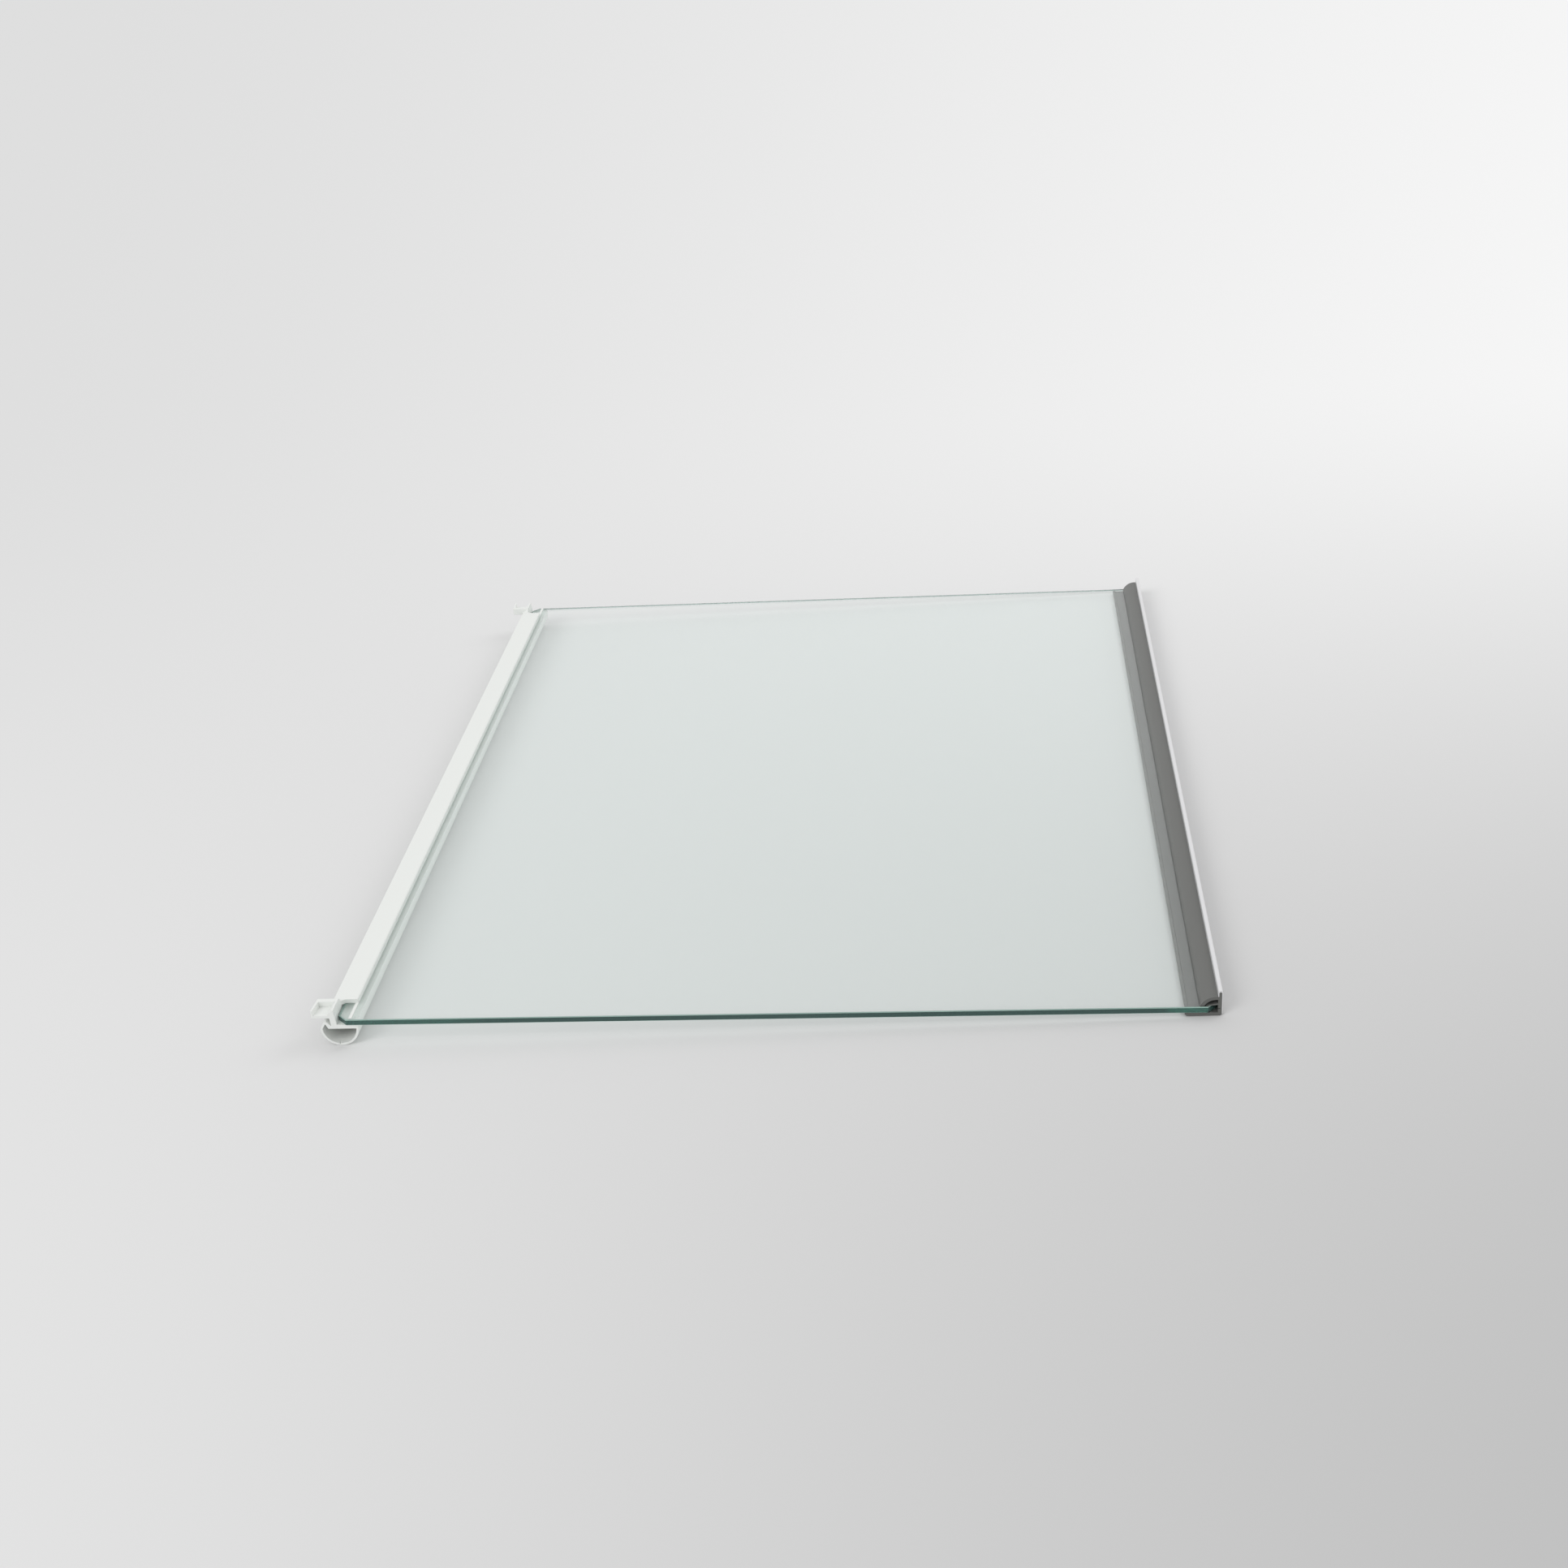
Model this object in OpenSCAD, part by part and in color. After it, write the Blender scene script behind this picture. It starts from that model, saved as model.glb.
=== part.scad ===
// Refrigerator shelf: a toughened glass plate with a white hollow trim along
// its rear edge and a dark grey trim with a bright facing along its front edge.
// X runs from the rear edge to the front edge, Y along both trims, Z up.
// The origin is under the middle of the shelf, level with its lowest point.

/* [Glass plate] */
// Length of the plate along the trims
plate_l = 520; // [440:1:600]
// Depth of the plate from its rear edge to its front edge
plate_d = 409; // [280:1:460]
// Thickness of the plate
plate_t = 3.2; // [3:0.1:4]
// Length of the straight cut at each corner of the plate, measured along an edge
corner_cut = 4.4; // [2:0.1:6]
// Width of the ground bevel round both faces of the plate
arris = 0.4; // [0.1:0.05:0.6]

/* [Both trims] */
// Distance by which each end of a trim stops short of the plate's end
trim_inset = 0.8; // [0:0.1:3]
// Free height over the plate in the rear trim's slot, behind its gripping land
slot_play = 0.4; // [0.2:0.1:0.6]

/* [Rear trim] */
// Outer radius of the hollow bar under the plate
bar_r = 9.25; // [9:0.05:10]
// Wall of the hollow bar
bar_wall = 1.1; // [0.8:0.1:1.6]
// Thickness of the flat wall that carries the plate
ledge_t = 2.1; // [1.4:0.1:2.4]
// Reach of the upper flange over the plate
flange_reach = 7.3; // [5:0.1:8]
// Overhang of the upper flange behind the plate's rear edge
flange_back = 5; // [4.6:0.1:6]
// Thickness of the upper flange
flange_t = 2.1; // [1.6:0.1:2.6]
// Width of the land under the flange's tip that grips the plate
land_w = 1.4; // [0.8:0.1:2]
// Angle by which the web behind the plate leans back, in degrees
web_lean = 6; // [2:0.5:7]
// Length of the cut-back at each end of the upper flange
notch_l = 13.5; // [12.5:0.1:20]
// Radius of the inner corner of that cut-back
notch_r = 3; // [1:0.1:5]

/* [End pockets of the rear trim] */
// Outer length of each pocket along the trim
pocket_l = 10.9; // [10:0.1:12]
// Distance from the plate's rear edge to the pocket's outer face
pocket_back = 12.1; // [11:0.1:14]
// Distance by which the pocket's outer wall draws in towards the pocket's closed end
pocket_draw = 0.7; // [0:0.1:1]
// Height of the pocket's walls above the plate's top face
pocket_top = 4.6; // [4.4:0.1:6]
// Thickness of the pocket's outer wall
pocket_wall = 1.1; // [0.8:0.1:1.6]
// Thickness of the pocket's inner end wall
pocket_end_wall = 2.8; // [1.2:0.1:3]
// Thickness of the pocket's floor
pocket_floor = 1.4; // [0.6:0.1:1.6]

/* [Front trim] */
// Width of the base under the plate, from the plate's front edge inwards
base_w = 14.75; // [12:0.05:18]
// Thickness of the base below its ribs
base_t = 1.6; // [1.2:0.1:2]
// Height of the ribs and of the base's inner bead, on which the plate lies
rib_h = 0.3; // [0.2:0.05:0.5]
// Height of the front wall above the plate's top face
wall_top = 8; // [7:0.1:10]
// Thickness of the front wall with its bright facing
wall_t = 2.1; // [1.8:0.1:2.6]
// Outer radius of the curved sealing lip
lip_r = 7.9; // [7.5:0.05:8.2]
// Thickness of the sealing lip
lip_t = 1.6; // [1.2:0.1:1.8]

/* [Bright facing] */
// Thickness of the facing on the front wall
facing_t = 0.4; // [0.3:0.05:0.5]
// Thickness of the facing's bead over the top of the wall
facing_cap = 0.8; // [0.4:0.1:1]
// Height of the facing's lower edge below the plate's top face
facing_low = 4; // [0:0.1:4.2]

/* [Hidden] */
$fn = 96;
eps = 0.01;
over = 1;

trim_l = plate_l - 2 * trim_inset;
ledge_top = -plate_t;

// Rear trim: places measured from the plate's rear edge and top face
bar_c = [0.6, ledge_top - 2];
web_foot = -0.3;
web_back = -3.6;
groove_floor = [-3.1, ledge_top - 0.6];
ear_tip = [[-6.9, ledge_top + 1.1], [-6.3, ledge_top + 1.6], [-5.4, ledge_top + 1.9]];
ear_hollow = [-5.9, ledge_top + 0.4];
ear_hollow_foot = -4.7;
flange_low = slot_play;
flange_top = slot_play + flange_t;
pocket_low = 0.5;
shoulder = 1.6;
ramp_l = min(2, notch_l - pocket_l - 0.3);
face_step = 0.05;
tip_cut = 0.4;
nick_w = 0.9;
nick_l = 1.3;

// Front trim: places measured from the plate's front edge and top face
wall_gap = 0.1;
base_top = ledge_top - rib_h;
base_low = base_top - base_t;
bead_w = 1.5;
rib_w = 0.5;
rib_at = [-3, -6.1];
lip_c = [-0.7, -3.1];
lip_root = lip_c[1] + lip_r;
heel_r = 1;
heel_x = wall_gap + wall_t - facing_t;
fin_l = 5.2;
fin_root = [0.5, 0.6, 1.4];
fin_tip = 0.3;

// The shelf's box, for its place over the origin
low_z = bar_c[1] - bar_r;
mid_x = (plate_d + wall_gap + wall_t - pocket_back) / 2;

// Behind the plate, the face of the leaning web at a given height
function web_face(z) = web_foot - (z - ledge_top) * tan(web_lean);

module place() translate([-mid_x, 0, -low_z]) children();
module along_y(l) rotate([90, 0, 0]) linear_extrude(height = l, center = true) children();
module both_ends() {
    children();
    mirror([0, 1, 0]) children();
}

// The plate seen from above, with its four corners cut off
function plate_points() = [
    for (q = [[0, 0, -1, -1], [1, 0, 1, -1], [1, 1, 1, 1], [0, 1, -1, 1]])
        let (corner = [q[0] * plate_d, q[3] * plate_l / 2],
             along_x = [corner[0] - q[2] * corner_cut, corner[1]],
             along_l = [corner[0], corner[1] - q[3] * corner_cut])
        each (q[2] * q[3] > 0 ? [along_l, along_x] : [along_x, along_l])
];

// One straight bevel along an edge that starts at p and runs to q
module bevel(p, q) {
    d = q - p;
    translate([p[0], p[1], 0])
        rotate([0, 0, atan2(d[1], d[0])])
            translate([-over, 0, 0])
                rotate([90, 0, 90])
                    linear_extrude(height = norm(d) + 2 * over)
                        polygon([[-over, -arris - over], [arris + over, over], [-over, over]]);
}

module glass_panel() color([0.72, 0.88, 0.82, 0.35]) place() {
    pts = plate_points();
    n = len(pts);
    difference() {
        translate([0, 0, -plate_t]) linear_extrude(height = plate_t) polygon(pts);
        for (i = [0 : n - 1]) {
            p = pts[(i + n - 1) % n];
            q = pts[i];
            bevel(p, q);
            translate([0, 0, -plate_t]) mirror([0, 0, 1]) bevel(p, q);
        }
    }
}

// The hollow bar's outline: a round underside, and behind it an ear that rises to the groove
module bar_outline() {
    intersection() {
        translate(bar_c) circle(r = bar_r);
        translate([bar_c[0] - 2 * bar_r, low_z - over])
            square([4 * bar_r, bar_c[1] - low_z + over]);
    }
    intersection() {
        translate(bar_c) circle(r = bar_r);
        translate([groove_floor[0], bar_c[1] - eps])
            square([2 * bar_r, ledge_top - bar_c[1] + eps]);
    }
    polygon(concat([[bar_c[0] - bar_r, bar_c[1]]], ear_tip,
                   [groove_floor, [groove_floor[0] + over, groove_floor[1]],
                    [groove_floor[0] + over, bar_c[1] - over], [bar_c[0] - bar_r + over, bar_c[1] - over]]));
}

module bar_hollow() {
    hollow_top = ledge_top - ledge_t;
    intersection() {
        translate(bar_c) circle(r = bar_r - bar_wall);
        translate([bar_c[0] - bar_r, low_z]) square([2 * bar_r, hollow_top - low_z]);
    }
    polygon([[bar_c[0] - bar_r + bar_wall, hollow_top - eps], ear_hollow, [ear_hollow_foot, hollow_top - eps]]);
}

// The web from the ledge up to a given height
module web_outline(top) polygon([
    [groove_floor[0], groove_floor[1]],
    [web_foot, groove_floor[1]],
    [web_foot, ledge_top],
    [web_face(top), top],
    [web_back, top],
    [web_back, 1.2]
]);

// The upper flange: a round nose behind, and a gripping land under its tip
module flange_outline() {
    nose_r = flange_t / 2;
    translate([nose_r - flange_back, flange_low + nose_r]) circle(r = nose_r);
    polygon([
        [nose_r - flange_back, flange_low],
        [flange_reach - land_w - slot_play, flange_low],
        [flange_reach - land_w, 0],
        [flange_reach, 0],
        [flange_reach, flange_top - tip_cut],
        [flange_reach - tip_cut, flange_top],
        [nose_r - flange_back, flange_top]
    ]);
}

module rear_section() difference() {
    union() {
        bar_outline();
        web_outline(flange_top);
        flange_outline();
    }
    bar_hollow();
}

// What is cut from the flange at the +Y end, along the leaning face of the web
module flange_notch() {
    reach = flange_reach + 2 * over;
    depth = notch_l + over;
    translate([web_foot + face_step, trim_l / 2 - notch_l, ledge_top])
        rotate([0, -web_lean, 0])
            translate([0, 0, plate_t - slot_play])
                linear_extrude(height = flange_top + 2 * over)
                    difference() {
                        square([reach, depth]);
                        difference() {
                            square([notch_r, notch_r]);
                            translate([notch_r, notch_r]) circle(r = notch_r);
                        }
                    }
}

// The web's raised part at the +Y end: its back edge is shouldered and its inner end slopes down
module raised_web() intersection() {
    along_y(plate_l) polygon([
        [web_back, flange_low],
        [web_face(flange_low), flange_low],
        [web_face(pocket_top), pocket_top],
        [web_back + shoulder, pocket_top],
        [web_back, pocket_top - shoulder]
    ]);
    translate([web_back - over, trim_l / 2, 0]) rotate([90, 0, 90])
        linear_extrude(height = over - web_back) polygon([
            [0, flange_low],
            [0, pocket_top],
            [-pocket_l, pocket_top],
            [-pocket_l - ramp_l, flange_top],
            [-pocket_l - ramp_l, flange_low]
        ]);
}

// The outside of the pocket at the +Y end; its outer wall draws in
module pocket_block() translate([0, trim_l / 2, pocket_low])
    linear_extrude(height = pocket_top - pocket_low)
        polygon([[-pocket_back, 0], [pocket_draw - pocket_back, -pocket_l],
                 [web_back + shoulder, -pocket_l], [web_back + shoulder, 0]]);

// The inside of that pocket, open upwards and towards the end
module pocket_hollow() {
    inner_l = pocket_l - pocket_end_wall;
    inner_x = pocket_wall - pocket_back;
    translate([0, trim_l / 2, pocket_low + pocket_floor]) linear_extrude(height = pocket_top)
        polygon([[inner_x, over], [inner_x, 0], [inner_x + pocket_draw, -inner_l],
                 [web_back, -inner_l], [web_back, over]]);
    translate([0, (trim_l - inner_l + over) / 2, 0]) along_y(inner_l + over) polygon([
        [web_back - eps, pocket_top - shoulder - eps],
        [web_back + shoulder + over, pocket_top + over],
        [web_back - eps, pocket_top + over]
    ]);
}

// A small nick in the bar's rim at its -Y end
module rim_nick() translate([bar_c[0] - nick_w, -trim_l / 2, low_z + bar_wall])
    along_y(2 * nick_l) polygon([[-nick_w / 2, nick_w / 2], [nick_w / 2, nick_w / 2], [0, -nick_w]]);

module rear_trim() color([0.93, 0.94, 0.92]) place() difference() {
    union() {
        difference() {
            along_y(trim_l) rear_section();
            both_ends() flange_notch();
        }
        both_ends() {
            raised_web();
            pocket_block();
        }
    }
    both_ends() pocket_hollow();
    rim_nick();
}

// The curved lip that seals on the plate: an arc clipped by the plate and by the wall
module lip_outline() intersection() {
    difference() {
        translate(lip_c) circle(r = lip_r);
        translate(lip_c) circle(r = lip_r - lip_t);
    }
    translate([lip_c[0] - lip_r - over, 0])
        square([lip_r + over - lip_c[0] + fin_root[0], lip_root + over]);
}

// The base with its bead and ribs under the plate, and the wall's core up to the lip's root
module base_outline() polygon(concat(
    [[heel_x, base_low], [heel_x, lip_root], [wall_gap, lip_root], [wall_gap, base_top]],
    [for (x = rib_at) for (q = [[1, 0], [1, 1], [-1, 1], [-1, 0]])
        [x + q[0] * rib_w / 2, base_top + q[1] * rib_h]],
    [[bead_w + rib_h - base_w, base_top], [bead_w - base_w, ledge_top],
     [0.2 - base_w, ledge_top], [-base_w, ledge_top - 0.2], [-base_w, ledge_top - 0.9],
     [0.8 - base_w, base_low]]
));

// What rounds the heel off, below the wall
module heel_corner() difference() {
    translate([heel_x - heel_r, base_low - over]) square([heel_r + over, heel_r + over]);
    translate([heel_x - heel_r, base_low + heel_r]) circle(r = heel_r);
}

// The core above the lip, thinner there because the facing covers both of its sides
module wall_outline() {
    core_r = wall_t / 2 - facing_t;
    core_top = wall_top - facing_cap;
    core_mid = wall_gap + wall_t / 2;
    translate([core_mid - core_r, 0]) square([2 * core_r, core_top - core_r]);
    translate([core_mid, core_top - core_r]) circle(r = core_r);
}

// The thin fin that lies on the plate under the lip
module fin_outline() polygon([
    [fin_root[0], fin_root[1]], [fin_root[0], fin_root[2]], [-fin_l, fin_tip], [-fin_l, 0]
]);

module front_section() difference() {
    union() {
        base_outline();
        wall_outline();
        lip_outline();
        fin_outline();
    }
    heel_corner();
}

// A small nick in the wall's -Y end face, level with the middle of the plate
module wall_nick() translate([wall_gap, -trim_l / 2, -plate_t / 2])
    cube([nick_w, nick_l, nick_w / 2]);

module front_trim() color([0.33, 0.34, 0.33]) place() translate([plate_d, 0, 0])
    difference() {
        along_y(trim_l) front_section();
        wall_nick();
    }

// The bright facing: down the wall's outside, over its round top and down to the lip's root
module facing_outline() {
    top_r = wall_t / 2;
    core_r = top_r - facing_t;
    core_top = wall_top - facing_cap;
    difference() {
        union() {
            translate([wall_gap, lip_root]) square([wall_t, wall_top - top_r - lip_root]);
            translate([wall_gap + top_r, wall_top - top_r]) circle(r = top_r);
            translate([wall_gap + wall_t - facing_t, -facing_low])
                square([facing_t, lip_root + facing_low]);
        }
        translate([wall_gap + top_r, core_top - core_r]) circle(r = core_r);
        translate([wall_gap + facing_t, lip_root - over])
            square([2 * core_r, core_top - core_r - lip_root + over]);
    }
}

module front_facing() color([0.82, 0.82, 0.83]) place() translate([plate_d, 0, 0])
    along_y(trim_l) facing_outline();

glass_panel();
rear_trim();
front_trim();
front_facing();
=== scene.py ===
"""A refrigerator shelf: a clear glass plate between a white rear trim and a dark grey front trim.

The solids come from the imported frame. This script gives them their looks, makes the plate
again with real air gaps so that it refracts cleanly, lays the shelf on a pale floor, lights it
softly from two sides and stands the camera where the photograph was taken.
Lengths are in metres unless a name ends in _mm.
"""

import math

import bpy
from mathutils import Euler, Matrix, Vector


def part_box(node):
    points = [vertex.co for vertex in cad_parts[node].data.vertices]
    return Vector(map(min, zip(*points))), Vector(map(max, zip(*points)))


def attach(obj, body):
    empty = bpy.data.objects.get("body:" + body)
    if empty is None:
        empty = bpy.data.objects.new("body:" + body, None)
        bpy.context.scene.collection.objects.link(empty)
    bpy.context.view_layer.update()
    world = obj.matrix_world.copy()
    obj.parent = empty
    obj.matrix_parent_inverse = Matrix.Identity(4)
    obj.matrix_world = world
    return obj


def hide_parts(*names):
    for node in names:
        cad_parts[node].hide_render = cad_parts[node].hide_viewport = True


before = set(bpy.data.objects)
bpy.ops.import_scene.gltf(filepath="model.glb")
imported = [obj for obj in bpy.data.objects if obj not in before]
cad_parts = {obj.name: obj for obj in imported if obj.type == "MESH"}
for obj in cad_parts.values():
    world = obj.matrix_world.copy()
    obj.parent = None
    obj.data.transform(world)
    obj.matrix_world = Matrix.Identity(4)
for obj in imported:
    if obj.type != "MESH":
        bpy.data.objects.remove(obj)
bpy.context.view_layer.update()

MM = 0.001
SCENE = bpy.context.scene

# Where things are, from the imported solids
PLATE_LOW, PLATE_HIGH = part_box("glass_panel")
REAR_LOW, REAR_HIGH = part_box("rear_trim")
FRONT_LOW, FRONT_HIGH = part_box("front_trim")
FACING_LOW, FACING_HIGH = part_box("front_facing")


# Camera
def add_camera():
    """The camera of the photograph: its place and turn were fitted to the plate's edges."""
    data = bpy.data.cameras.new("camera")
    data.sensor_width = 36.0
    data.lens = 49.12
    data.clip_start = 0.01
    data.clip_end = 200.0
    cam = bpy.data.objects.new("camera", data)
    cam.location = (0.10882, -1.09278, 0.54418)
    cam.rotation_euler = Euler([math.radians(a) for a in (63.757, 3.7184, 4.2628)], "XYZ")
    SCENE.collection.objects.link(cam)
    SCENE.camera = cam
    return cam


# Small node tools
class Nodes:
    """Adds nodes to one tree and joins them, so that a material reads top to bottom."""

    def __init__(self, tree):
        self.tree = tree

    def add(self, kind, inputs=None, **props):
        node = self.tree.nodes.new(kind)
        for key, value in props.items():
            setattr(node, key, value)
        for key, value in (inputs or {}).items():
            self.put(node.inputs[key], value)
        return node

    def put(self, socket, value):
        if isinstance(value, bpy.types.NodeSocket):
            self.tree.links.new(value, socket)
        else:
            socket.default_value = value

    def math(self, op, a, b=0.0, clamp=False):
        node = self.add("ShaderNodeMath", {0: a, 1: b}, operation=op, use_clamp=clamp)
        return node.outputs[0]

    def ramp01(self, value, low, high):
        """0 below low, 1 above high, smooth between."""
        node = self.add("ShaderNodeMapRange", {"Value": value, "From Min": low, "From Max": high},
                        interpolation_type="SMOOTHSTEP")
        return node.outputs["Result"]

    def mix_color(self, factor, a, b):
        node = self.add("ShaderNodeMix", data_type="RGBA")
        self.put(node.inputs[0], factor)
        self.put(node.inputs[6], a)
        self.put(node.inputs[7], b)
        return node.outputs[2]

    def noise(self, vector, scale, detail=2.0, roughness=0.5):
        node = self.add("ShaderNodeTexNoise", {"Vector": vector, "Scale": scale, "Detail": detail,
                                               "Roughness": roughness})
        return node.outputs["Fac"]


def new_material(name, **constants):
    """A material with one Principled shader, whose constants are on its own sockets."""
    mat = bpy.data.materials.new(name)
    mat.use_nodes = True
    tree = mat.node_tree
    shader = tree.nodes["Principled BSDF"]
    for key, value in constants.items():
        shader.inputs[key.replace("_", " ")].default_value = value
    return mat, Nodes(tree), shader, tree.nodes["Material Output"]


def object_place(n):
    """The place on the object in metres, as a vector and its three parts."""
    coord = n.add("ShaderNodeTexCoord").outputs["Object"]
    parts = n.add("ShaderNodeSeparateXYZ", {0: coord})
    return coord, parts.outputs[0], parts.outputs[1], parts.outputs[2]


def soft_edge(n, radius_mm):
    """A normal that rounds every sharp edge by this radius, as moulding leaves it."""
    return n.add("ShaderNodeBevel", {"Radius": radius_mm * MM}, samples=6).outputs["Normal"]


# Materials
def white_plastic():
    mat, n, shader, _ = new_material("white plastic", Base_Color=(0.83, 0.85, 0.825, 1),
                                     Roughness=0.42, IOR=1.46)
    coord, x, y, z = object_place(n)
    grain = n.noise(coord, 900.0, 3.0)
    bump = n.add("ShaderNodeBump", {"Strength": 0.05, "Distance": 0.0001, "Height": grain,
                                    "Normal": soft_edge(n, 0.25)})
    n.put(shader.inputs["Normal"], bump.outputs[0])
    return mat


def grey_plastic():
    mat, n, shader, _ = new_material("grey plastic", Base_Color=(0.125, 0.127, 0.12, 1),
                                     Roughness=0.38, IOR=1.5)
    n.put(shader.inputs["Normal"], soft_edge(n, 0.15))
    return mat


def bright_facing():
    mat, n, shader, _ = new_material("bright facing", Base_Color=(0.78, 0.78, 0.79, 1),
                                     Roughness=0.28, Metallic=0.35, IOR=1.5)
    n.put(shader.inputs["Normal"], soft_edge(n, 0.12))
    return mat


GLASS_IOR = 1.52


def straight_through(n):
    """1 for rays towards a lamp and for soft light between dull surfaces."""
    path = n.add("ShaderNodeLightPath")
    return n.math("MAXIMUM", path.outputs["Is Shadow Ray"], path.outputs["Is Diffuse Ray"])


def green_depth(n, out):
    """Long ways inside the glass turn green."""
    absorb = n.add("ShaderNodeVolumeAbsorption", {"Color": (0.42, 0.86, 0.76, 1), "Density": 7.0})
    n.put(out.inputs["Volume"], absorb.outputs[0])


def clear_glass():
    """The plate's two faces. Soft light and lamps shine straight through them."""
    mat, n, shader, out = new_material("clear glass", Base_Color=(0.995, 1.0, 0.998, 1),
                                       Roughness=0.0, IOR=GLASS_IOR)
    shader.inputs["Transmission Weight"].default_value = 1.0
    clear = n.add("ShaderNodeBsdfTransparent", {"Color": (0.965, 0.98, 0.975, 1)})
    mixed = n.add("ShaderNodeMixShader", {0: straight_through(n)})
    n.put(mixed.inputs[1], shader.outputs[0])
    n.put(mixed.inputs[2], clear.outputs[0])
    n.put(out.inputs["Surface"], mixed.outputs[0])
    green_depth(n, out)
    return mat


def ground_glass(name, painted_edge_tint, roughness, clear_part):
    """The plate's ground sides: part clear glass, part a flat colour in which the edge's light is
    painted: painted shade for the dark sides, a painted highlight for the pale bevels.
    """
    mat, n, shader, out = new_material(name, Base_Color=painted_edge_tint, Roughness=roughness, IOR=GLASS_IOR)
    glass = n.add("ShaderNodeBsdfGlass", {"Color": (0.96, 1.0, 0.985, 1), "Roughness": 0.12,
                                          "IOR": GLASS_IOR})
    mixed = n.add("ShaderNodeMixShader", {0: clear_part})
    n.put(mixed.inputs[1], shader.outputs[0])
    n.put(mixed.inputs[2], glass.outputs[0])
    n.put(out.inputs["Surface"], mixed.outputs[0])
    green_depth(n, out)
    return mat


def floor_painted_light_and_shade():
    """A pale sweep of paper, with painted light making it brighter to the back right and painted
    shade making it dimmer to the front right.
    """
    mat, n, shader, _ = new_material("floor paper", Base_Color=(0.85, 0.85, 0.85, 1),
                                     Roughness=0.9)
    shader.inputs["Specular IOR Level"].default_value = 0.0
    coord, x, y, z = object_place(n)
    depth = n.math("MAXIMUM", n.math("ADD", y, 1.45), 0.45)
    side = n.math("DIVIDE", x, depth)
    across = n.ramp01(side, -0.42, 0.50)
    away = n.ramp01(y, -0.62, 0.75)
    # Painted shade darkens the near right of the paper and painted light brightens the far right.
    near = n.mix_color(across, (0.80, 0.80, 0.80, 1), (0.52, 0.52, 0.52, 1))
    far = n.mix_color(across, (0.75, 0.75, 0.75, 1), (0.97, 0.97, 0.97, 1))
    n.put(shader.inputs["Base Color"], n.mix_color(away, near, far))
    return mat


# The glass plate
def plate_outline(low, high, cut, inset):
    """The plate's eight corners seen from above, counter-clockwise, drawn in by inset.

    A corner cut of length c measured along each edge moves, under an inset i, to
    c - i (2 - sqrt 2), so that all eight sides draw in by the same i.
    """
    x0, y0 = low[0] + inset, low[1] + inset
    x1, y1 = high[0] - inset, high[1] - inset
    c = cut - inset * (2 - math.sqrt(2))
    return [(x0 + c, y0), (x1 - c, y0), (x1, y0 + c), (x1, y1 - c),
            (x1 - c, y1), (x0 + c, y1), (x0, y1 - c), (x0, y0 + c)]


def glass_plate():
    """The plate, a hair smaller than its solid so that air parts it from the trims."""
    gap = 0.02 * MM
    cut = 4.4 * MM
    bevel = 0.4 * MM
    low, high = PLATE_LOW, PLATE_HIGH
    z0, z1 = low[2] + gap, high[2] - gap
    rings = [(bevel, z0), (gap, z0 + bevel), (gap, z1 - bevel), (bevel, z1)]
    verts = [(x, y, z) for inset, z in rings for x, y in plate_outline(low, high, cut, inset)]
    faces = [tuple(reversed(range(8))), tuple(range(24, 32))]
    slots = [0, 0]
    for ring, slot in ((0, 2), (1, 1), (2, 2)):
        for i in range(8):
            j = (i + 1) % 8
            faces.append((8 * ring + i, 8 * ring + j, 8 * ring + 8 + j, 8 * ring + 8 + i))
            slots.append(slot)
    mesh = bpy.data.meshes.new("glass plate")
    mesh.from_pydata(verts, [], faces)
    mesh.materials.append(clear_glass())
    # Dark teal painted shade: the darkness that long ways through the glass give its ground
    # sides.
    mesh.materials.append(ground_glass("ground side", (0.06, 0.14, 0.125, 1), 0.35, 0.45))
    # Pale green painted highlight along the bevelled arrises, a lighter copy of the side colour.
    mesh.materials.append(ground_glass("ground bevel", (0.42, 0.60, 0.54, 1), 0.40, 0.35))
    for face, slot in zip(mesh.polygons, slots):
        face.material_index = slot
    mesh.update()
    plate = bpy.data.objects.new("glass_plate", mesh)
    SCENE.collection.objects.link(plate)
    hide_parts("glass_panel")
    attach(plate, "root")
    return plate


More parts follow.
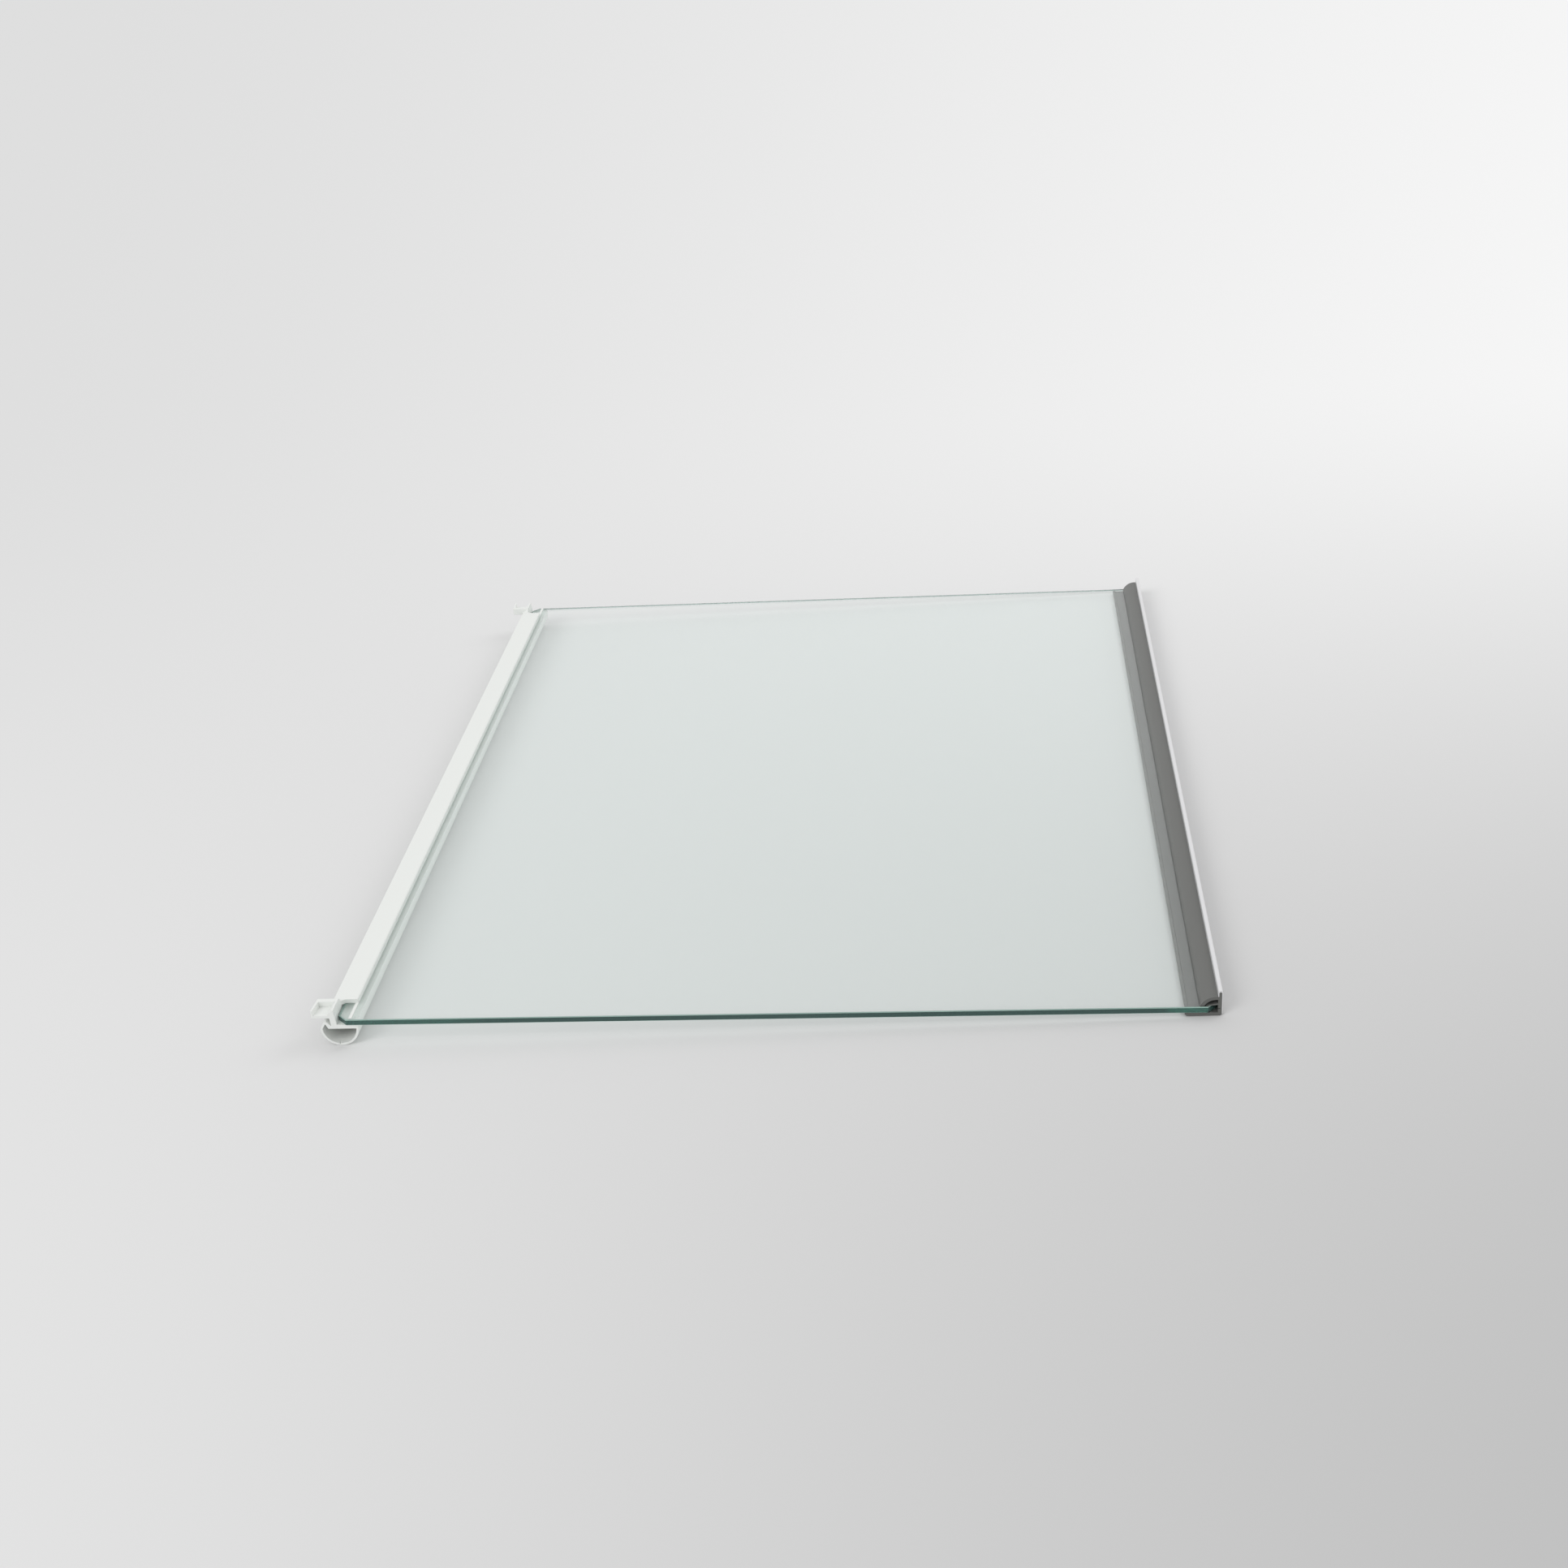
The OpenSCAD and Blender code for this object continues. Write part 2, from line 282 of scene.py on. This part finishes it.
# Floor, lamps, world
def lay_floor():
    """The floor touches the rear bar's round underside and the heel of the front trim."""
    bar_x, bar_r = REAR_LOW[0] + 12.7 * MM, 9.25 * MM
    heel_x, heel_z = FRONT_HIGH[0] - 1.0 * MM, FRONT_LOW[2]
    span = heel_x - bar_x
    slope = 0.0
    for _ in range(20):
        slope = (bar_r * math.sqrt(1 + slope * slope) - bar_r + heel_z) / span
    drop = 0.02 * MM
    half = 30.0
    verts = [(x, y, heel_z + slope * (x - heel_x) - drop)
             for x, y in ((-half, -half), (half, -half), (half, half), (-half, half))]
    mesh = bpy.data.meshes.new("floor")
    mesh.from_pydata(verts, [], [(0, 1, 2, 3)])
    mesh.materials.append(floor_painted_light_and_shade())
    floor = bpy.data.objects.new("floor", mesh)
    SCENE.collection.objects.link(floor)
    return floor


def add_sun(name, towards, spread, strength):
    """A far soft lamp that stands in the direction towards; spread is its width in degrees."""
    data = bpy.data.lights.new(name, "SUN")
    data.angle = math.radians(spread)
    data.energy = strength
    lamp = bpy.data.objects.new(name, data)
    lamp.location = Vector(towards).normalized() * 3.0
    lamp.rotation_euler = Vector(towards).to_track_quat("Z", "Y").to_euler()
    SCENE.collection.objects.link(lamp)
    return lamp


def set_world():
    """A soft even world, a little brighter where the camera and clean reflections see it."""
    world = bpy.data.worlds.new("studio")
    world.use_nodes = True
    n = Nodes(world.node_tree)
    background = world.node_tree.nodes["Background"]
    background.inputs["Color"].default_value = (1, 1, 1, 1)
    path = n.add("ShaderNodeLightPath")
    seen = n.math("MAXIMUM", path.outputs["Is Camera Ray"], path.outputs["Is Glossy Ray"])
    seen = n.math("MAXIMUM", seen, path.outputs["Is Transmission Ray"])
    level = n.math("ADD", 0.76, n.math("MULTIPLY", seen, 0.10))
    n.put(background.inputs["Strength"], level)
    SCENE.world = world


def set_render():
    SCENE.render.engine = "CYCLES"
    SCENE.view_settings.view_transform = "Standard"
    SCENE.cycles.max_bounces = 64
    SCENE.cycles.diffuse_bounces = 4
    SCENE.cycles.glossy_bounces = 48
    SCENE.cycles.transmission_bounces = 64
    SCENE.cycles.transparent_max_bounces = 16
    SCENE.cycles.sample_clamp_indirect = 4.0


def dress(node, mat):
    """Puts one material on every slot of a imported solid."""
    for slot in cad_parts[node].material_slots:
        slot.material = mat


add_camera()
dress("rear_trim", white_plastic())
dress("front_trim", grey_plastic())
dress("front_facing", bright_facing())
glass_plate()
lay_floor()
add_sun("window", (0.90, 0.45, 0.75), 35.0, 0.40)
add_sun("room lamp", (-0.70, -0.70, 0.75), 30.0, 0.75)
set_world()
set_render()
